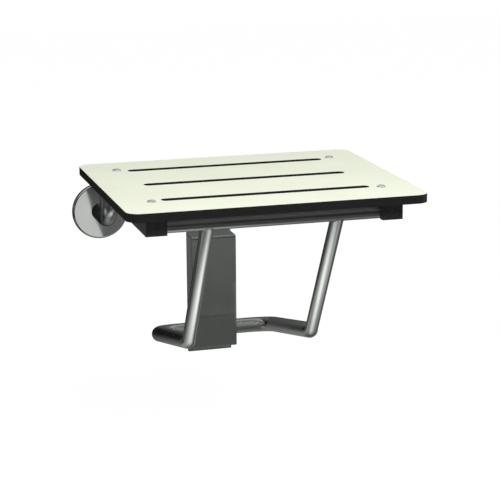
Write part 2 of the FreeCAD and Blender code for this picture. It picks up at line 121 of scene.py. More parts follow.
def combine(material, first, second, operation="ADD"):
    """Two patterns, or a pattern and a number, through one sum."""
    tree = material.node_tree
    node = tree.nodes.new("ShaderNodeMath")
    node.operation = operation
    for socket, value in zip(node.inputs, (first, second)):
        if isinstance(value, (int, float)):
            socket.default_value = value
        else:
            tree.links.new(value, socket)
    return node.outputs["Value"]


def blended(material, first, second, share):
    """Two patterns together, the first in this share and the second in the rest."""
    return combine(material, combine(material, first, share, "MULTIPLY"),
                   combine(material, second, 1 - share, "MULTIPLY"))


def tint(material, shader, value, colour, darkest, lightest, start=0.35, end=0.65):
    """Colour the surface from a pattern, between a darker and a lighter shade."""
    tree = material.node_tree
    shades = tree.nodes.new("ShaderNodeValToRGB")
    for element, place, factor in zip(shades.color_ramp.elements, (start, end),
                                      (darkest, lightest)):
        element.position = place
        element.color = (*(min(1, channel * factor) for channel in colour), 1)
    tree.links.new(value, shades.inputs["Fac"])
    tree.links.new(shades.outputs["Color"], shader.inputs["Base Color"])


def roughen(material, shader, value, smoothest, roughest):
    """Vary the roughness with the middle range of a pattern."""
    tree = material.node_tree
    node = tree.nodes.new("ShaderNodeMapRange")
    node.inputs["From Min"].default_value = 0.3
    node.inputs["From Max"].default_value = 0.7
    node.inputs["To Min"].default_value = smoothest
    node.inputs["To Max"].default_value = roughest
    tree.links.new(value, node.inputs["Value"])
    tree.links.new(node.outputs["Result"], shader.inputs["Roughness"])


def bump(material, shader, value, depth):
    """Raise the surface by a pattern, depth in metres from low to high."""
    tree = material.node_tree
    node = tree.nodes.new("ShaderNodeBump")
    node.inputs["Strength"].default_value = 1
    node.inputs["Distance"].default_value = depth
    tree.links.new(value, node.inputs["Height"])
    tree.links.new(node.outputs["Normal"], shader.inputs["Normal"])


def pale_laminate(name, colour):
    """Pale laminate face: faint clouding, a fine pearled texture, satin sheen."""
    material, shader = blank_material(name, colour, metallic=0, roughness=0.42)
    shader.inputs["Specular IOR Level"].default_value = 0.3
    clouds = noise(material, 14, detail=5)
    flecks = noise(material, 420, detail=2)
    tint(material, shader, blended(material, clouds, flecks, 0.75), colour, 0.975, 1.015)
    roughen(material, shader, noise(material, 240), 0.38, 0.47)
    swell = combine(material, noise(material, 330, detail=3), 0.6, "MULTIPLY")
    pearl = combine(material, noise(material, 1100, detail=2), swell)
    bump(material, shader, pearl, 0.03 * MM)
    return material


def black_core():
    """Cut edge of the solid laminate: pressed layers lying flat, satin from the router."""
    colour = (0.0125, 0.013, 0.0128)
    material, shader = blank_material("black_core", colour, metallic=0, roughness=0.5)
    shader.inputs["Specular IOR Level"].default_value = 0.22
    layers = noise(material, 90, detail=3, stretch=(1, 1, 22))
    tint(material, shader, layers, colour, 0.8, 1.35)
    satin = noise(material, 350, detail=3, stretch=(1, 1, 5))
    roughen(material, shader, satin, 0.42, 0.58)
    bump(material, shader, noise(material, 300, stretch=(1, 1, 9)), 0.04 * MM)
    return material


def black_rail():
    """Planed black bar: grain drawn out along its length, slightly worn sheen."""
    colour = (0.0305, 0.0308, 0.0308)
    material, shader = blank_material("black_rail", colour, metallic=0, roughness=0.46)
    shader.inputs["Specular IOR Level"].default_value = 0.33
    shader.inputs["Sheen Weight"].default_value = 0.26
    shader.inputs["Sheen Roughness"].default_value = 0.35
    grain = noise(material, 260, stretch=(1, 0.06, 1))
    tint(material, shader, grain, colour, 0.8, 1.3)
    roughen(material, shader, grain, 0.4, 0.55)
    bump(material, shader, grain, 0.04 * MM)
    return material


def plastic(name, colour, roughness):
    """Turned or moulded plastic with a fine matt skin."""
    material, shader = blank_material(name, colour, 0, roughness)
    tint(material, shader, noise(material, 70), colour, 0.85, 1.15)
    skin = noise(material, 500, detail=3)
    roughen(material, shader, skin, roughness - 0.07, roughness + 0.08)
    bump(material, shader, noise(material, 1500, detail=2), 0.03 * MM)
    return material


def polished_steel(name, colour, roughness):
    """Bright stainless: hardly any texture, faint hairlines and handling haze."""
    material, shader = blank_material(name, colour, 1, roughness)
    tint(material, shader, noise(material, 25), colour, 0.96, 1.03)
    haze = noise(material, 60)
    hairlines = noise(material, 900, detail=2, stretch=(1, 1, 0.05), turn=(0.3, 0.2, 0.5))
    worn = blended(material, haze, hairlines, 0.6)
    roughen(material, shader, worn, roughness * 0.7, roughness * 1.5)
    bump(material, shader, hairlines, 0.0004 * MM)
    return material


def brushed_steel(name, colour, roughness, stretch, turn=(0, 0, 0), depth=0.004 * MM):
    """Stainless with a drawn or brushed grain; stretch is small along the grain."""
    material, shader = blank_material(name, colour, 1, roughness)
    grain = noise(material, 1400, 3, stretch, turn)
    cloud = noise(material, 30)
    mixed = blended(material, grain, cloud, 0.5)
    tint(material, shader, mixed, colour, 0.955, 1.04, start=0.38, end=0.62)
    roughen(material, shader, mixed, roughness - 0.02, roughness + 0.03)
    bump(material, shader, grain, depth)
    return material


def weld_steel():
    """Cleaned weld: ripples across the bead and a faint straw stain."""
    colour = (0.36, 0.355, 0.345)
    material, shader = blank_material("weld_steel", colour, metallic=1, roughness=0.34)
    tint(material, shader, noise(material, 160), colour, 0.82, 1.08)
    roughen(material, shader, noise(material, 900, detail=3), 0.28, 0.44)
    bump(material, shader, noise(material, 650, detail=2), 0.12 * MM)
    return material


# Finishes.

IVORY = pale_laminate("ivory_laminate", (0.83, 0.865, 0.71))
BACKING = pale_laminate("backing_laminate", (0.78, 0.80, 0.765))
CORE = black_core()
RAIL = black_rail()
SCREW = polished_steel("screw_steel", (0.88, 0.885, 0.88), 0.14)
COVER = polished_steel("cover_steel", (0.445, 0.455, 0.445), 0.03)
POST = brushed_steel("post_steel", (0.50, 0.505, 0.50), 0.25, (1, 1, 0.05))
TUBE = brushed_steel("tube_steel", (0.60, 0.61, 0.59), 0.22, (0.05, 1, 1), depth=0.001 * MM)
LEG = brushed_steel("leg_steel", (0.62, 0.63, 0.61), 0.24, (1, 1, 0.04), turn=(-0.54, 0, 0))
# Crossbar: the legs' tube steel with its colour about halved, a painted shade for its place
# just under the seat.
SHADED_BAR_STEEL = brushed_steel("bar_steel_painted_shade", (0.32, 0.325, 0.32), 0.35, (0.05, 1, 1), depth=0.0005 * MM)
BRACKET = brushed_steel("bracket_steel", (0.51, 0.535, 0.51), 0.18, (1, 1, 0.25))
TURNED = brushed_steel("turned_steel", (0.48, 0.48, 0.48), 0.26, (0.1, 1, 1))
PLATE = brushed_steel("plate_steel", (0.60, 0.61, 0.59), 0.45, (1, 1, 0.1))
WELD = weld_steel()
SHOE = plastic("shoe_plastic", (0.02, 0.02, 0.021), 0.42)
RUBBER = plastic("stop_rubber", (0.012, 0.012, 0.012), 0.65)
BUSH = plastic("bush_plastic", (0.035, 0.035, 0.037), 0.38)


# Shaping.

MERGE_WITHIN = 0.005 * MM
CUT_WITHIN = 0.001 * MM
LEAST_EDGE = 0.002 * MM
SAME_FACE = math.radians(1.5)
ROUND_ANGLE = 60  # degrees; a round piece's creases are sharper than this
LEVEL_FACE = 0.97  # how far up or down a face must point to count as level
TUBE_FACETS = 72
BEND_FACET = 4  # degrees
LEAST_BEND_FACETS = 6
RIGHT_ANGLE = math.radians(90)
STILL = Matrix.Identity(4)


def turn_to(heading):
    """The turn that takes something built up along Z round to a heading."""
    return Vector((0, 0, 1)).rotation_difference(Vector(heading)).to_matrix().to_4x4()


def merged_copy(name):
    """A CAD node's shape with its loose triangles joined into whole faces."""
    shape = bmesh.new()
    shape.from_mesh(nodes[name].data)
    bmesh.ops.remove_doubles(shape, verts=shape.verts, dist=MERGE_WITHIN)
    bmesh.ops.dissolve_limit(shape, angle_limit=SAME_FACE, verts=shape.verts,
                             edges=shape.edges)
    return shape


def ease(shape, width, segments, least_angle):
    """Round off the shape's sharp edges, as a deburring pass does."""
    sharp = [edge for edge in shape.edges if len(edge.link_faces) == 2
             and edge.calc_face_angle(0) > math.radians(least_angle)]
    bmesh.ops.bevel(shape, geom=sharp, offset=width, offset_type="OFFSET", segments=segments,
                    profile=0.5, affect="EDGES", clamp_overlap=True, material=-1)
    return shape


def cut_level(shape, height, **cleared):
    """Cut a shape level at a height, clear one side of it and give back the cut's rim."""
    everything = shape.verts[:] + shape.edges[:] + shape.faces[:]
    cut = bmesh.ops.bisect_plane(shape, geom=everything, dist=CUT_WITHIN,
                                 plane_co=(0, 0, height), plane_no=(0, 0, 1), **cleared)
    return [part for part in cut["geom_cut"] if isinstance(part, bmesh.types.BMEdge)]


def extruded(shape, edges):
    """Extrude a ring of edges and give back the new ring's points and edges."""
    grown = bmesh.ops.extrude_edge_only(shape, edges=edges)["geom"]
    verts = [part for part in grown if isinstance(part, bmesh.types.BMVert)]
    edges = [part for part in grown if isinstance(part, bmesh.types.BMEdge)
             and all(vert in verts for vert in part.verts)]
    return verts, edges


def grow_ring(shape, edges, move, size, centre):
    """Extrude a ring of edges, carry it by a matrix and scale it about its middle."""
    verts, edges = extruded(shape, edges)
    bmesh.ops.transform(shape, matrix=move, verts=verts)
    bmesh.ops.scale(shape, vec=(size, size, size), space=Matrix.Translation(-centre),
                    verts=verts)
    return edges


def tube(radius, start, heading, steps):
    """Skin of a bent tube: runs of ("straight", length) and ("bend", radius, angle, axis)."""
    shape = bmesh.new()
    heading = Vector(heading).normalized()
    bmesh.ops.create_circle(shape, cap_ends=False, radius=radius, segments=TUBE_FACETS,
                            matrix=Matrix.Translation(start) @ turn_to(heading))
    edges = shape.edges[:]
    place = Vector(start)
    for step in steps:
        if step[0] == "straight":
            verts, edges = extruded(shape, edges)
            bmesh.ops.translate(shape, verts=verts, vec=heading * step[1])
            place = place + heading * step[1]
        else:
            _, bend, angle, axis = step
            axis = Vector(axis).normalized()
            centre = place + axis.cross(heading) * bend
            count = max(LEAST_BEND_FACETS, int(abs(math.degrees(angle)) / BEND_FACET))
            grown = bmesh.ops.spin(shape, geom=edges, cent=centre, axis=axis, dvec=(0, 0, 0),
                                   angle=angle, steps=count, use_merge=False,
                                   use_normal_flip=False, use_duplicate=False)["geom_last"]
            edges = [part for part in grown if isinstance(part, bmesh.types.BMEdge)]
            rotation = Matrix.Rotation(angle, 3, axis)
            place = centre + rotation @ (place - centre)
            heading = rotation @ heading
    bmesh.ops.remove_doubles(shape, verts=shape.verts, dist=MERGE_WITHIN)
    bmesh.ops.recalc_face_normals(shape, faces=shape.faces)
    return shape


def wall(shape, thickness):
    """Give an open skin a wall inside it."""
    bmesh.ops.solidify(shape, geom=shape.faces, thickness=thickness)
    return shape


def turned(profile, rounded, axis_place, axis, facets):
    """Spin a profile of (radius, height) corners; rounded is (corner, radius, segments)."""
    shape = bmesh.new()
    corners = [shape.verts.new((radius, 0, height)) for radius, height in profile]
    for corner, following in zip(corners, corners[1:] + corners[:1]):
        shape.edges.new((corner, following))
    for index, radius, segments in rounded:
        bmesh.ops.bevel(shape, geom=[corners[index]], offset=radius, offset_type="OFFSET",
                        segments=segments, profile=0.5, affect="VERTICES", material=-1)
    bmesh.ops.spin(shape, geom=shape.verts[:] + shape.edges[:], cent=(0, 0, 0),
                   axis=(0, 0, 1), dvec=(0, 0, 0), angle=math.tau, steps=facets,
                   use_merge=True, use_normal_flip=False, use_duplicate=False)
    bmesh.ops.remove_doubles(shape, verts=shape.verts, dist=MERGE_WITHIN)
    bmesh.ops.recalc_face_normals(shape, faces=shape.faces)
    bmesh.ops.transform(shape, matrix=Matrix.Translation(axis_place) @ turn_to(axis),
                        verts=shape.verts)
    return shape


def gather(whole, shape):
    """Add one of several like shapes to the piece that they make together."""
    part = bpy.data.meshes.new("part")
    shape.to_mesh(part)
    shape.free()
    whole.from_mesh(part)
    bpy.data.meshes.remove(part)


def finished(shape, name, body, material, replaces=None, smooth_angle=38, flat=True,
             trim=None):
    """Turn a shape into a piece that rides on its body and stands for its CAD node.

    flat keeps its flat faces evenly shaded, and trim is the material of its edges.
    """
    bmesh.ops.dissolve_degenerate(shape, dist=LEAST_EDGE, edges=shape.edges)
    bmesh.ops.triangulate(shape, faces=[face for face in shape.faces if len(face.verts) > 4])
    mesh = bpy.data.meshes.new(name)
    shape.to_mesh(mesh)
    shape.free()
    for polygon in mesh.polygons:
        polygon.use_smooth = True
        if trim and abs(polygon.normal.z) < LEVEL_FACE:
            polygon.material_index = 1
    mesh.set_sharp_from_angle(angle=math.radians(smooth_angle))
    piece = bpy.data.objects.new(name, mesh)
    collection.objects.link(piece)
    mesh.materials.append(material)
    if trim:
        mesh.materials.append(trim)
    if flat:
        weighted = piece.modifiers.new("even_faces", "WEIGHTED_NORMAL")
        weighted.keep_sharp = True
    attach(piece, body)
    if replaces:
        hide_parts(replaces)


# Seat panel: one routed panel, split where the pale faces meet the black core.

PANEL_EDGE = 0.4 * MM
PANEL_CORNER = 60


def panel_layer(name, node, low, high, material, trim=None):
    """The panel between two heights, cut from the whole panel with its eased edges."""
    shape = merged_copy("seat_core")
    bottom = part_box("seat_face_lower")[0].z
    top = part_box("seat_face")[1].z
    middle = (bottom + top) / 2
    for vert in shape.verts:
        vert.co.z = top if vert.co.z > middle else bottom
    ease(shape, PANEL_EDGE, 3, PANEL_CORNER)
    for height, side in ((high, "clear_outer"), (low, "clear_inner")):
        if height is not None:
            rim = cut_level(shape, height, **{side: True})
            bmesh.ops.triangle_fill(shape, use_beauty=True, use_dissolve=False, edges=rim)
    bmesh.ops.recalc_face_normals(shape, faces=shape.faces)
    finished(shape, name, "seat", material, node, trim=trim)


core_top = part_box("seat_face")[0].z
core_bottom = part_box("seat_face_lower")[1].z
panel_layer("panel_core", "seat_core", core_bottom, core_top, CORE)
panel_layer("panel_face", "seat_face", core_top, None, IVORY, CORE)
panel_layer("panel_face_lower", "seat_face_lower", None, core_bottom, BACKING,
            CORE)


# Seat screws: smooth domed heads on plain shanks.

HEAD_RADIUS = 7 * MM
HEAD_HEIGHT = 3 * MM
SHANK_RADIUS = 3 * MM
SHANK_LENGTH = 8 * MM


def seat_screws():
    whole = bmesh.new()
    low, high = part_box("seat_screws")
    seat_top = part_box("seat_face")[1].z
    middle = Vector((0, 0, 0))
    down = Matrix.Translation((0, 0, -SHANK_LENGTH))
    for x in (low.x + HEAD_RADIUS, high.x - HEAD_RADIUS):
        for y in (low.y + HEAD_RADIUS, high.y - HEAD_RADIUS):
            shape = bmesh.new()
            bmesh.ops.create_uvsphere(shape, u_segments=64, v_segments=48,
                                      radius=HEAD_RADIUS)
            rim = cut_level(shape, 0, clear_inner=True)
            bmesh.ops.scale(shape, vec=(1, 1, HEAD_HEIGHT / HEAD_RADIUS), verts=shape.verts)
            rim = grow_ring(shape, rim, STILL, SHANK_RADIUS / HEAD_RADIUS, middle)
            rim = grow_ring(shape, rim, down, 1, middle)
            bmesh.ops.edgeloop_fill(shape, edges=rim)
            bmesh.ops.recalc_face_normals(shape, faces=shape.faces)
            bmesh.ops.translate(shape, verts=shape.verts, vec=(x, y, seat_top))
            gather(whole, shape)
    finished(whole, "domed_screws", "seat", SCREW, "seat_screws",
             smooth_angle=50, flat=False)


seat_screws()


# Pieces whose CAD shape is right: the same shape with its edges eased.

EASED_CORNER = 40
EASED = (
    # Node, piece, body, slot, material, width of the eased edge in mm and its segments.
    ("rail_{}", "side_rail_{}", "seat", "rail_black", RAIL, 0.9, 3),
    ("hinge_pin_{}", "pivot_pin_{}", "seat", "pin_steel", TURNED, 0.4, 2),
    ("anchor_plate_{}", "wall_anchor_{}", "wall_side", "plate_steel", PLATE, 0.3, 1),
    ("hinge_tang_{}", "pivot_tang_{}", "wall_side", "post_steel", TURNED, 0.5, 2),
    ("hinge_bush_{}", "pivot_bush_{}", "wall_side", "bush_plastic", BUSH, 0.2, 1),
    ("guide_back_plate", "bracket_back_plate", "wall_side", "bracket_steel", BRACKET, 0.4, 2),
    ("guide_channel", "bracket_channel", "wall_side", "bracket_steel", BRACKET, 0.35, 2),
    ("stop_pad", "rubber_stop", "wall_side", "stop_rubber", RUBBER, 1.2, 3),
    ("shoe_half_front", "slide_shoe_front", "shoe", "shoe_plastic", SHOE, 0.8, 2),
    ("shoe_half_rear", "slide_shoe_rear", "shoe", "shoe_plastic", SHOE, 0.8, 2),
    ("crossbar_pins", "bar_pins", "brace", "pin_steel", TURNED, 0.5, 2),
)
for node, name, body, slot, material, width, segments in EASED:
    for side in ("left", "right") if "{}" in node else ("",):
        shape = ease(merged_copy(node.format(side)), width * MM, segments, EASED_CORNER)
        finished(shape, name.format(side), body, material, node.format(side))


# Wall flanges: polished flat dishes with a rolled rim.

POST_HOLE = 14.6 * MM
COVER_SHEET = 1.2 * MM
COVER_RIM = 3 * MM
COVER_LIP = 0.4 * MM
COVER_FACETS = 160


def flange_cover(side):
    node = f"flange_cover_{side}"
    low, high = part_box(node)
    centre = (low + high) / 2
    outer = (high.x - low.x) / 2
    inner = outer - COVER_SHEET
    depth = high.y - low.y
    inner_depth = depth - COVER_SHEET
    profile = [(outer, 0), (outer, depth), (POST_HOLE, depth), (POST_HOLE, inner_depth),
               (inner, inner_depth), (inner, 0)]
    rounded = ((1, COVER_RIM, 12), (2, COVER_LIP, 3), (4, COVER_RIM - COVER_SHEET, 6))
    shape = turned(profile, rounded, (centre.x, 0, centre.z), (0, -1, 0), COVER_FACETS)
    finished(shape, f"wall_flange_{side}", "wall_side", COVER, node,
             smooth_angle=ROUND_ANGLE)


# Hinge posts: one bent tube each, out of the wall and up to the pivot.

POST_BEND = 28 * MM
POST_WALL = 2.5 * MM
PIN_RADIUS = 4 * MM


def hinge_post(side):
    node = f"hinge_post_{side}"
    low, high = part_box(node)
    radius = (high.x - low.x) / 2
    x = (low.x + high.x) / 2
    level = low.z + radius
    pivot_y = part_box(f"hinge_pin_{side}")[0].y + PIN_RADIUS
    steps = (("straight", high.y - pivot_y - POST_BEND),
             ("bend", POST_BEND, RIGHT_ANGLE, (-1, 0, 0)),
             ("straight", high.z - level - POST_BEND))
    shape = wall(tube(radius, (x, high.y, level), (0, -1, 0), steps), POST_WALL)
    finished(shape, f"bent_post_{side}", "wall_side", POST, node,
             smooth_angle=ROUND_ANGLE)


for side, _ in SIDES:
    flange_cover(side)
    hinge_post(side)


# Brace: bent lower frame, knees, legs, crossbar and the welds between them.

FRAME_RADIUS = 12.7 * MM
FRAME_BEND = 40 * MM
LEG_RADIUS = 10.3 * MM
KNEE_BEND = 20 * MM
KNEE_STEPS = 16
KNEE_PLUG = 8 * MM
TUBE_WALL = 2 * MM
WELD_BEAD = 2.2 * MM
WELD_ROWS = 6
WELD_FACETS = 96
WELD_SKIN = 0.4 * MM
FRAME_X = 100 * MM
RUN_CENTRE = Vector((0, -19.75 * MM, -68 * MM))
KNEE = Vector((0, -258 * MM, -14 * MM))
BAR_CENTRE = Vector((0, -387 * MM, 201.6 * MM))

run_heading = (KNEE - RUN_CENTRE).normalized()
run_length = (KNEE - RUN_CENTRE).length
leg_heading = (BAR_CENTRE - KNEE).normalized()
knee_angle = run_heading.angle(leg_heading)
knee_reach = KNEE_BEND * math.tan(knee_angle / 2)


def lower_frame():
    """One tube: a side run, the cross run in the guide and the other side run."""
    sideways = Vector((1, 0, 0))
    flat_normal = sideways.cross(run_heading)
    side_run = run_length - FRAME_BEND - knee_reach
    steps = (("straight", side_run),
             ("bend", FRAME_BEND, RIGHT_ANGLE, flat_normal),
             ("straight", 2 * (FRAME_X - FRAME_BEND)),
             ("bend", FRAME_BEND, RIGHT_ANGLE, flat_normal),
             ("straight", side_run))
    start = KNEE - FRAME_X * sideways - knee_reach * run_heading
    shape = wall(tube(FRAME_RADIUS, start, -run_heading, steps), TUBE_WALL)
    finished(shape, "bent_lower_frame", "brace", TUBE, "lower_frame",
             smooth_angle=ROUND_ANGLE)


def knee_elbows():
    """Dressed corners that carry each side run round into its thinner leg."""
    whole = bmesh.new()
    axis = run_heading.cross(leg_heading).normalized()
    frame_bore = FRAME_RADIUS - TUBE_WALL
    leg_bore = LEG_RADIUS - TUBE_WALL
    rotation = Matrix.Rotation(knee_angle / KNEE_STEPS, 4, axis)
    for _, way in SIDES:
        shape = bmesh.new()
        place = KNEE + Vector((way * FRAME_X, 0, 0)) - knee_reach * run_heading
        centre = place + axis.cross(run_heading) * KNEE_BEND
        first = Matrix.Translation(place - KNEE_PLUG * run_heading)
        bmesh.ops.create_circle(shape, cap_ends=True, radius=frame_bore,
                                segments=TUBE_FACETS,
                                matrix=first @ turn_to(run_heading))
        edges = shape.edges[:]
        onward = Matrix.Translation(KNEE_PLUG * run_heading)
        edges = grow_ring(shape, edges, onward, 1, place)
        edges = grow_ring(shape, edges, STILL, FRAME_RADIUS / frame_bore, place)
        radius = FRAME_RADIUS
        about = Matrix.Translation(centre) @ rotation @ Matrix.Translation(-centre)
        for step in range(1, KNEE_STEPS + 1):
            part = step / KNEE_STEPS
            eased = part * part * (3 - 2 * part)
            wanted = FRAME_RADIUS + (LEG_RADIUS - FRAME_RADIUS) * eased
            place = about @ place
            edges = grow_ring(shape, edges, about, wanted / radius, place)
            radius = wanted
        edges = grow_ring(shape, edges, STILL, leg_bore / LEG_RADIUS, place)
        upward = Matrix.Translation(KNEE_PLUG * leg_heading)
        edges = grow_ring(shape, edges, upward, 1, place)
        bmesh.ops.edgeloop_fill(shape, edges=edges)
        bmesh.ops.recalc_face_normals(shape, faces=shape.faces)
        gather(whole, shape)
    finished(whole, "knee_elbows", "brace", LEG, "frame_end_caps",
             smooth_angle=ROUND_ANGLE, flat=False)


def leg(side, way):
    """A straight tube from the knee's elbow up into the crossbar."""
    start = KNEE + Vector((way * FRAME_X, 0, 0)) + knee_reach * leg_heading
    end = BAR_CENTRE + Vector((way * FRAME_X, 0, 0))
    steps = (("straight", (end - start).length),)
    shape = wall(tube(LEG_RADIUS, start, leg_heading, steps), TUBE_WALL)
    finished(shape, f"brace_leg_{side}", "brace", LEG, f"leg_{side}",
             smooth_angle=ROUND_ANGLE)


def on_bar(point):
    """Where a line along the leg through this point comes up to the crossbar's skin."""
    offset = point - BAR_CENTRE
    across = Vector((0, offset.y, offset.z))
    climb = across.dot(leg_heading)
    room = climb * climb - across.length_squared + LEG_RADIUS ** 2
    return point - leg_heading * (climb + math.sqrt(max(room, 0)))


def leg_weld(side, way):
    """A small hollow bead round the leg where it meets the crossbar."""
    end = BAR_CENTRE + Vector((way * FRAME_X, 0, 0))
    shape = bmesh.new()
    ring = bmesh.ops.create_circle(shape, cap_ends=False, radius=LEG_RADIUS,
                                   segments=WELD_FACETS,
                                   matrix=Matrix.Translation(end) @ turn_to(leg_heading))
    edges = shape.edges[:]
    rings = [ring["verts"]]
    for _ in range(WELD_ROWS):
        verts, edges = extruded(shape, edges)
        rings.append(verts)
    for row, verts in enumerate(rings):
        share = row / WELD_ROWS
        for vert in verts:
            out = (vert.co - end).normalized()
            drop = on_bar(end + out * LEG_RADIUS)
            foot = on_bar(end + out * (LEG_RADIUS + WELD_BEAD))
            top = drop - leg_heading * WELD_BEAD
            vert.co = (top * (1 - share) ** 2 + drop * 2 * share * (1 - share)
                       + foot * share ** 2)
    bmesh.ops.recalc_face_normals(shape, faces=shape.faces)
    wall(shape, WELD_SKIN)
    finished(shape, f"leg_weld_{side}", "brace", WELD, smooth_angle=ROUND_ANGLE,
             flat=False)


def crossbar():
    low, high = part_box("crossbar")
    start = (low.x, BAR_CENTRE.y, BAR_CENTRE.z)
    steps = (("straight", high.x - low.x),)
    shape = wall(tube(LEG_RADIUS, start, (1, 0, 0), steps), TUBE_WALL)
    # Its steel is painted darker than the legs' steel: painted shade from the seat above it.
    finished(shape, "rail_crossbar", "brace", SHADED_BAR_STEEL, "crossbar",
             smooth_angle=ROUND_ANGLE)


lower_frame()
knee_elbows()
crossbar()
for side, way in SIDES:
    leg(side, way)
    leg_weld(side, way)


# Pieces that the steel doesn't mirror: it shows the seat, the rails and the stage only.

UNMIRRORED = (COVER, PLATE, POST, TUBE, LEG, WELD, BRACKET, TURNED, SHOE)
for piece in collection.objects:
    if piece.type == "MESH" and piece.active_material in UNMIRRORED:
        piece.visible_glossy = False


# Stage: pale floor, white surroundings, one soft lamp and dim cards for the steel.

FLOOR = -0.25
FLOOR_REACH = 6
CARD_FLOOR = FLOOR + 4 * MM
FRONT = -1.3
REAR = 0.25
CARD_COLOUR = (0.97, 1, 0.98, 1)
WORLD_LEVEL = 0.57
FLOOR_GREY = 0.9
FLOOR_GLOW = 1.07
FLOOR_GLOW_SHARE = 0.86
FLOOR_THROWN_BACK = 0.26


def either_ray(tree):
    """1 for camera, glossy and transmission rays, 0 for the rest."""
    path = tree.nodes.new("ShaderNodeLightPath")
    seen = path.outputs["Is Camera Ray"]
    for name in ("Is Glossy Ray", "Is Transmission Ray"):
        either = tree.nodes.new("ShaderNodeMath")
        either.operation = "MAXIMUM"
        tree.links.new(seen, either.inputs[0])
        tree.links.new(path.outputs[name], either.inputs[1])
        seen = either.outputs[0]
    return seen


def either_shader(tree, share, first, second):
    """A mix of two shaders, the second in this share."""
    mix = tree.nodes.new("ShaderNodeMixShader")
    if isinstance(share, float):
        mix.inputs["Fac"].default_value = share
    else:
        tree.links.new(share, mix.inputs["Fac"])
    tree.links.new(first, mix.inputs[1])
    tree.links.new(second, mix.inputs[2])
    return mix.outputs[0]


def flat_shader(tree, kind, grey, strength=None):
    """A plain grey shader of one kind."""
    shader = tree.nodes.new(kind)
    shader.inputs["Color"].default_value = (grey, grey, grey, 1)
    if strength is not None:
        shader.inputs["Strength"].default_value = strength
    return shader.outputs[0]


def world():
    """White to the eye and in the steel, dimmer as a light."""
    surroundings = bpy.data.worlds.new("studio")
    surroundings.use_nodes = True
    tree = surroundings.node_tree
    tree.nodes.clear()
    soft = flat_shader(tree, "ShaderNodeBackground", 1, WORLD_LEVEL)
    white = flat_shader(tree, "ShaderNodeBackground", 1, 1.0)
    out = tree.nodes.new("ShaderNodeOutputWorld")
    tree.links.new(either_shader(tree, either_ray(tree), soft, white), out.inputs["Surface"])
    bpy.context.scene.world = surroundings


def sheet(name, corner, across, up, material):
    """A flat stage sheet from one corner and its two sides."""
    shape = bmesh.new()
    bmesh.ops.create_grid(shape, x_segments=1, y_segments=1, size=0.5)
    centre = Vector(corner) + Vector(across) / 2 + Vector(up) / 2
    normal = Vector(across).cross(Vector(up)).normalized()
    turn = Matrix((Vector(across), Vector(up), normal)).transposed().to_4x4()
    bmesh.ops.transform(shape, matrix=Matrix.Translation(centre) @ turn, verts=shape.verts)
    mesh = bpy.data.meshes.new(name)
    shape.to_mesh(mesh)
    shape.free()
    mesh.materials.append(material)
    piece = bpy.data.objects.new(name, mesh)
    collection.objects.link(piece)
    return piece


def floor():
    """Pale floor: white to the eye with a faint shadow, and little light thrown back up."""
    material = bpy.data.materials.new("pale_floor")
    material.use_nodes = True
    tree = material.node_tree
    tree.nodes.clear()
    dim = flat_shader(tree, "ShaderNodeBsdfDiffuse", FLOOR_THROWN_BACK)
    matt = flat_shader(tree, "ShaderNodeBsdfDiffuse", FLOOR_GREY)
    white = flat_shader(tree, "ShaderNodeEmission", 1, FLOOR_GLOW)
    seen = either_shader(tree, FLOOR_GLOW_SHARE, matt, white)
    out = tree.nodes.new("ShaderNodeOutputMaterial")
    tree.links.new(either_shader(tree, either_ray(tree), dim, seen), out.inputs["Surface"])
    sheet("pale_floor", (-FLOOR_REACH, -FLOOR_REACH, FLOOR), (2 * FLOOR_REACH, 0, 0),
          (0, 2 * FLOOR_REACH, 0), material)


def ramp(material, axis, start, end, low, high):
    """A level that eases from low to high between two places along an axis."""
    tree = material.node_tree
    place = tree.nodes.new("ShaderNodeTexCoord")
    split = tree.nodes.new("ShaderNodeSeparateXYZ")
    tree.links.new(place.outputs["Object"], split.inputs[0])
    node = tree.nodes.new("ShaderNodeMapRange")
    node.interpolation_type = "SMOOTHSTEP"
    for name, value in (("From Min", start), ("From Max", end),
                        ("To Min", low), ("To Max", high)):
        node.inputs[name].default_value = value
    tree.links.new(split.outputs["XYZ".index(axis)], node.inputs["Value"])
    return node.outputs["Result"]


def pool(material, centre, reach, peak, turn):
    """A soft pool of light: peak at its centre, nothing beyond its reach."""
    tree = material.node_tree
    place = tree.nodes.new("ShaderNodeTexCoord")
    mapping = tree.nodes.new("ShaderNodeMapping")
    mapping.vector_type = "TEXTURE"
    mapping.inputs["Location"].default_value = (*centre, CARD_FLOOR)
    mapping.inputs["Rotation"].default_value = (0, 0, math.radians(turn))
    mapping.inputs["Scale"].default_value = (*reach, 1)
    fall = tree.nodes.new("ShaderNodeTexGradient")
    fall.gradient_type = "SPHERICAL"
    node = tree.nodes.new("ShaderNodeMapRange")
    node.interpolation_type = "SMOOTHSTEP"
    node.inputs["To Max"].default_value = peak
    tree.links.new(place.outputs["Object"], mapping.inputs["Vector"])
    tree.links.new(mapping.outputs["Vector"], fall.inputs["Vector"])
    tree.links.new(fall.outputs["Fac"], node.inputs["Value"])
    return node.outputs["Result"]


def front_level(material):
    """Dim low down, darkest at seat height, lighter above; dark far to the right."""
    low = ramp(material, "Z", -0.17, -0.02, 0.24, 0.035)
    high = ramp(material, "Z", 0.45, 0.9, 0, 0.28)
    right = ramp(material, "X", 0.45, 0.65, 1, 0.1)
    return combine(material, combine(material, low, high), right, "MULTIPLY")


def front_left_level(material):
    """Dim at the far left, near black towards the middle."""
    return ramp(material, "X", -0.65, -0.5, 0.18, 0.04)


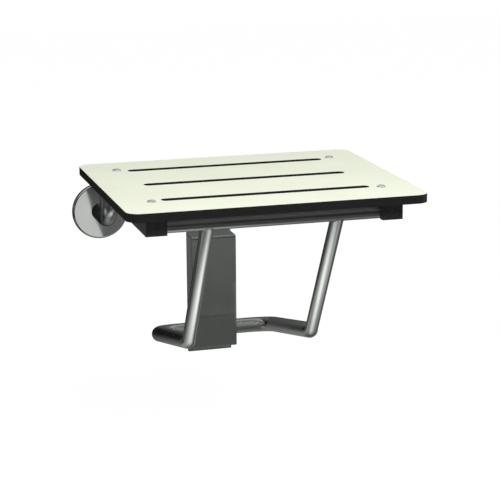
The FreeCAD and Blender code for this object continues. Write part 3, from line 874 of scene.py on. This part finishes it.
def rear_level(material):
    """Near black behind the left side, a little lighter low down and to the right."""
    low = ramp(material, "Z", FLOOR, -0.09, 0.14, 0.008)
    right = combine(material, ramp(material, "X", -0.12, -0.02, 0, 0.07),
                    combine(material, ramp(material, "X", -0.24, -0.14, 0, 1),
                            ramp(material, "Z", -0.02, 0.08, 0, 0.08), "MULTIPLY"))
    left = combine(material, ramp(material, "X", -1.2, -0.7, 0.2, 0),
                   combine(material, ramp(material, "X", -0.45, -0.36, 1, 0),
                           ramp(material, "Z", 0.06, 0.12, 0.05, 0.15), "MULTIPLY"))
    high = combine(material, ramp(material, "Z", 0.3, 0.6, 0, 0.5),
                   ramp(material, "Z", 0.8, 1.2, 0, -0.35))
    return combine(material, combine(material, low, right), combine(material, left, high))


def left_level(material):
    """Dim, and lighter high up."""
    return ramp(material, "Z", 1.2, 1.7, 0.12, 0.3)


def shield_level(material):
    """Darkest just below the cross run, lighter under that and above it."""
    return combine(material, ramp(material, "Z", -0.1, -0.145, 0, 0.1),
                   ramp(material, "Z", -0.08, -0.04, 0.1, 0.32))


POOLS = (
    # Centre, reach, peak and turn in degrees.
    ((-0.08, -0.395), (0.42, 0.19), 1.0, -12),
    ((0.02, -0.40), (0.25, 0.2), 0.75, 0),
    ((0.32, -0.42), (0.2, 0.24), 0.5, 0),
    ((-0.27, -0.14), (0.28, 0.32), 0.35, 0),
    ((-0.78, -0.36), (0.45, 0.35), 0.75, 0),
    ((0.05, 0.10), (0.6, 0.35), 0.2, 0),
)


def floor_level(material):
    """Dim floor, with a bright pool under the legs and weaker ones to the left and behind."""
    level = combine(material, ramp(material, "Y", -0.6, -1.25, 0.11, 0.17),
                    ramp(material, "X", -0.5, -0.2, 0.35, 1), "MULTIPLY")
    level = combine(material, level, ramp(material, "X", 0.10, 0.2, 0.55, 1), "MULTIPLY")
    for centre, reach, peak, turn in POOLS:
        level = combine(material, level, pool(material, centre, reach, peak, turn))
    return level


def card(name, corner, across, up, level, one_sided=False):
    """A dim studio card, seen in reflections only; its level is a number or graded."""
    material = bpy.data.materials.new(name)
    material.use_nodes = True
    tree = material.node_tree
    tree.nodes.clear()
    glow = tree.nodes.new("ShaderNodeEmission")
    glow.inputs["Color"].default_value = CARD_COLOUR
    if callable(level):
        tree.links.new(level(material), glow.inputs["Strength"])
    else:
        glow.inputs["Strength"].default_value = level
    surface = glow.outputs[0]
    if one_sided:
        side = tree.nodes.new("ShaderNodeNewGeometry")
        clear = tree.nodes.new("ShaderNodeBsdfTransparent")
        surface = either_shader(tree, side.outputs["Backfacing"], surface, clear.outputs[0])
    out = tree.nodes.new("ShaderNodeOutputMaterial")
    tree.links.new(surface, out.inputs["Surface"])
    piece = sheet(name, corner, across, up, material)
    piece.visible_camera = False
    piece.visible_diffuse = False
    piece.visible_shadow = False
    piece.visible_transmission = False


def lamp(name, place, aim, size, power):
    """A soft round lamp that the steel doesn't show."""
    data = bpy.data.lights.new(name, "AREA")
    data.shape = "DISK"
    data.size = size
    data.energy = power
    piece = bpy.data.objects.new(name, data)
    collection.objects.link(piece)
    heading = Vector(aim) - Vector(place)
    turn = heading.to_track_quat("-Z", "Y").to_matrix().to_4x4()
    piece.matrix_world = Matrix.Translation(place) @ turn
    piece.visible_glossy = False


CARDS = (
    # Name, one corner, its two sides, and its level.
    ("front_left_card", (-1.9, FRONT, FLOOR), (1.88, 0, 0), (0, 0, 0.25), front_left_level),
    ("front_middle_card", (-1.9, FRONT - 0.01, 0), (2.2, 0, 0), (0, 0, 0.8), 0.06),
    ("front_card", (0.083, FRONT, FLOOR), (2.2, 0, 0), (-0.495, 0, 1.5), front_level),
    ("rear_card", (-2.0, REAR, FLOOR), (4.0, 0, 0), (0, 0, 1.9), rear_level),
    ("low_left_card", (-1.95, REAR, FLOOR), (0, FRONT - REAR, 0), (0, 0, 0.5), 0.09),
    ("left_card", (-1.3, 0.9, 0.25), (0, -1.3, 0), (0, 0, 2.4), left_level),
    ("left_front_card", (-1.3, -0.4, 0.25), (0, -0.5, 0), (0, 0, 0.65), 0.25),
    ("right_card", (1.3, 0.9, 0.25), (0, -1.3, 0), (0, 0, 1.4), 0.12),
    ("floor_card", (-2.0, FRONT, CARD_FLOOR), (4.1, 0, 0), (0, REAR - FRONT, 0), floor_level),
    ("top_card", (-0.7, REAR, 1.6), (1.6, 0, 0), (0, -0.4, 0), 0.3),
)
SHIELD_Y = -0.06
SHIELDS = (
    # Name, right edge, width, height and level. They stand close in front of the cross
    # run and face the wall; from the front they are clear.
    ("right_shield", 0.09, 0.048, 0.26, shield_level),
    ("middle_shield", 0.042, 0.078, 0.2, 0.127),
    ("left_shield", -0.036, 0.04, 0.26, shield_level),
)

world()
floor()
for name, corner, across, up, level in CARDS:
    card(name, corner, across, up, level)
for name, right, width, height, level in SHIELDS:
    card(name, (right, SHIELD_Y, FLOOR), (-width, 0, 0), (0, 0, height), level, one_sided=True)
lamp("front_lamp", place=(0.2, -1.9, 1.8), aim=(0, -0.35, 0.2), size=1.5, power=46.8)
photo_camera()
bpy.context.scene.view_settings.view_transform = "Standard"
